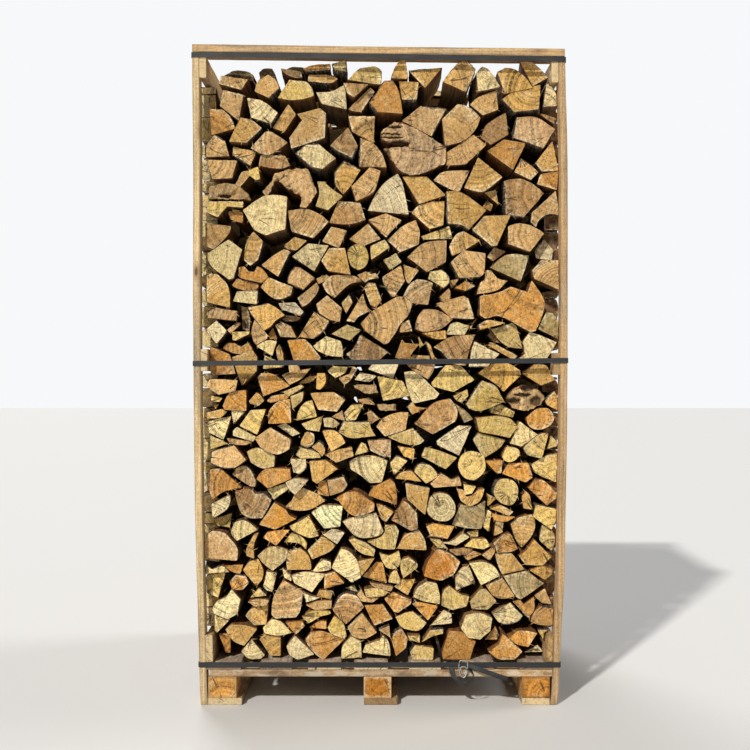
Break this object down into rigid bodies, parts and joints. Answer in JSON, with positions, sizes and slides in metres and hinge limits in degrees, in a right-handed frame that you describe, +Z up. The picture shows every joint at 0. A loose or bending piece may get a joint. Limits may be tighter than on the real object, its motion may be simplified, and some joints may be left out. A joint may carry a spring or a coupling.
{
  "type": "crate of firewood",
  "caption": "Tall pallet crate with open side frames, packed with split firewood logs lying front to back and held by straps round it.",
  "frame": {"origin": "on the ground, under the middle of the whole crate's box", "axes": "+Z up; -Y is the front, where the log ends and the strap buckle show; +X is to the right seen from the front"},
  "size_m": [1.1992, 1.029, 2.1],
  "materials": {
    "pallet_wood": "rough sawn, weathered grey",
    "frame_wood": "rough sawn, a little weathered",
    "log_wood": "sawn and split, dry, with bark",
    "strap_plastic": "satin black",
    "buckle_wire": "dull galvanised wire"
  },
  "bodies": {
    "root": {"back_log_row": "log_wood", "back_post_left": "frame_wood", "back_post_right": "frame_wood", "block_back_left": "pallet_wood", "block_back_middle": "pallet_wood", "block_back_right": "pallet_wood", "block_front_left": "pallet_wood", "block_front_middle": "pallet_wood", "block_front_right": "pallet_wood", "block_middle_left": "pallet_wood", "block_middle_middle": "pallet_wood", "block_middle_right": "pallet_wood", "bottom_rail_left": "frame_wood", "bottom_rail_right": "frame_wood", "broad_amber_log": "log_wood", "broad_middle_log": "log_wood", "brown_grained_log": "log_wood", "cross_board_back": "pallet_wood", "cross_board_front": "pallet_wood", "cross_board_middle": "pallet_wood", "deck_board_1": "pallet_wood", "deck_board_2": "pallet_wood", "deck_board_3": "pallet_wood", "deck_board_4": "pallet_wood", "deck_board_5": "pallet_wood", "deck_board_6": "pallet_wood", "deck_board_7": "pallet_wood", "front_log_row": "log_wood", "front_post_left": "frame_wood", "front_post_right": "frame_wood", "grey_rotten_log": "log_wood", "hexagon_log": "log_wood", "knotted_log": "log_wood", "middle_log_row": "log_wood", "middle_rail_left": "frame_wood", "middle_rail_right": "frame_wood", "orange_log": "log_wood", "pale_bottom_log": "log_wood", "pale_round_log": "log_wood", "pale_wedge_log": "log_wood", "round_brown_log": "log_wood", "skid_board_left": "pallet_wood", "skid_board_middle": "pallet_wood", "skid_board_right": "pallet_wood", "small_round_log": "log_wood", "strap_bottom": "strap_plastic", "strap_buckle": "buckle_wire", "strap_middle": "strap_plastic", "strap_tail_end": "strap_plastic", "strap_tail_loop": "strap_plastic", "strap_top": "strap_plastic", "top_board_back": "frame_wood", "top_board_front": "frame_wood", "top_rail_left": "frame_wood", "top_rail_right": "frame_wood", "weathered_log": "log_wood", "yellow_round_log": "log_wood"}
  },
  "joints": []
}
